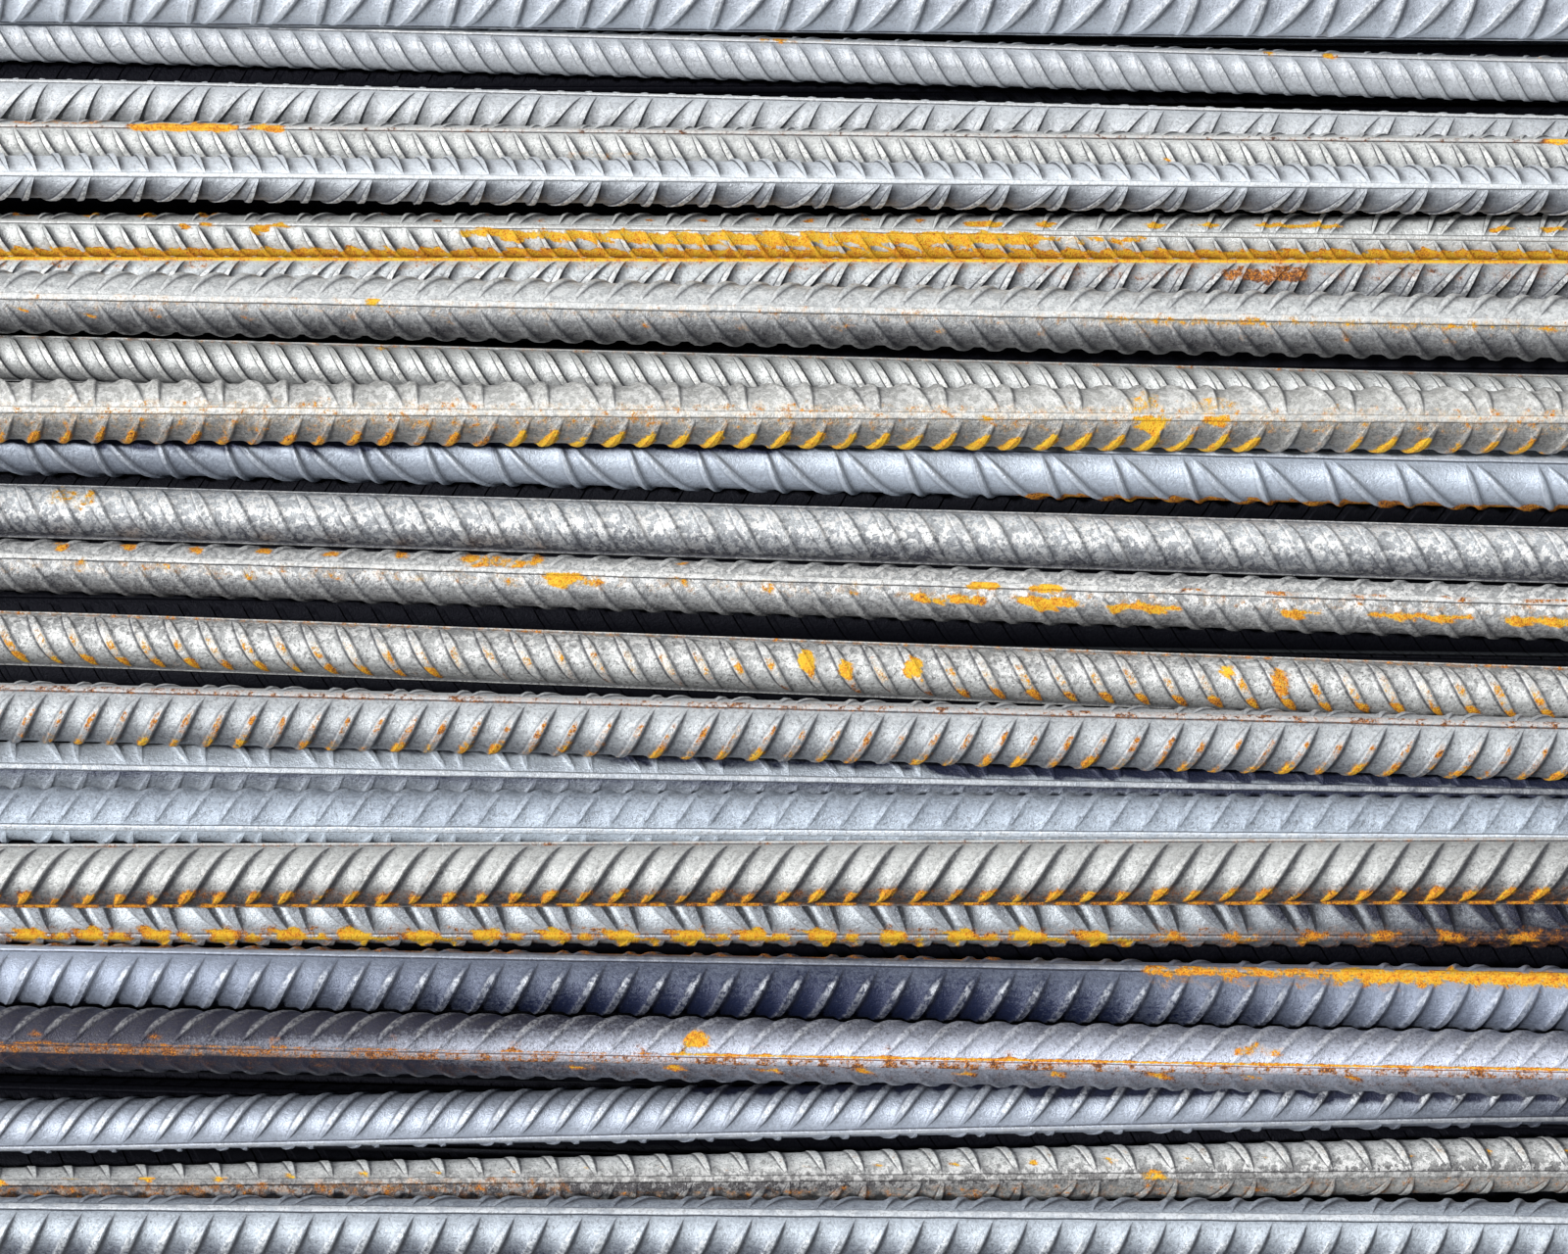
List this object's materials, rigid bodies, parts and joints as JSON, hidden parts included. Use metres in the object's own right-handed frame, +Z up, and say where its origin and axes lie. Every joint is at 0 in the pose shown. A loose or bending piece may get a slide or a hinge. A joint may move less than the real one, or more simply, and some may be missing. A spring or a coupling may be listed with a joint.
{
  "type": "rebar bundle",
  "caption": "Flat bundle of mixed ribbed steel reinforcing bars, cut to one length, lying in layers and held by twisted wire rod ties.",
  "frame": {"origin": "on the floor, midway along the bars and midway across the bundle", "axes": "+X along the bars towards their flush ends, +Y across the bundle, +Z up"},
  "size_m": [6.0245, 0.4248, 0.0941],
  "materials": {
    "top_bars": "hot-rolled mill scale, blue grey, with orange rust along ribs",
    "layer_bars": "hot-rolled mill scale, dark blue grey, lightly rusted",
    "tie_wire": "plain wire rod with brown rust"
  },
  "bodies": {
    "root": {"layer_1": "layer_bars", "layer_2": "layer_bars", "layer_3": "layer_bars", "bar_01": "top_bars", "bar_02": "top_bars", "bar_03": "top_bars", "bar_04": "top_bars", "bar_05": "top_bars", "bar_06": "top_bars", "bar_07": "top_bars", "bar_08": "top_bars", "bar_09": "top_bars", "bar_10": "top_bars", "bar_11": "top_bars", "bar_12": "top_bars", "bar_13": "top_bars", "bar_14": "top_bars", "bar_15": "top_bars", "bar_16": "top_bars", "bar_17": "top_bars", "bar_18": "top_bars", "bar_19": "top_bars", "bar_20": "top_bars", "bar_21": "top_bars", "bar_22": "top_bars", "bar_23": "top_bars", "bar_24": "top_bars", "bar_25": "top_bars", "bar_26": "top_bars", "tie_1": "tie_wire", "tie_2": "tie_wire"}
  },
  "joints": []
}
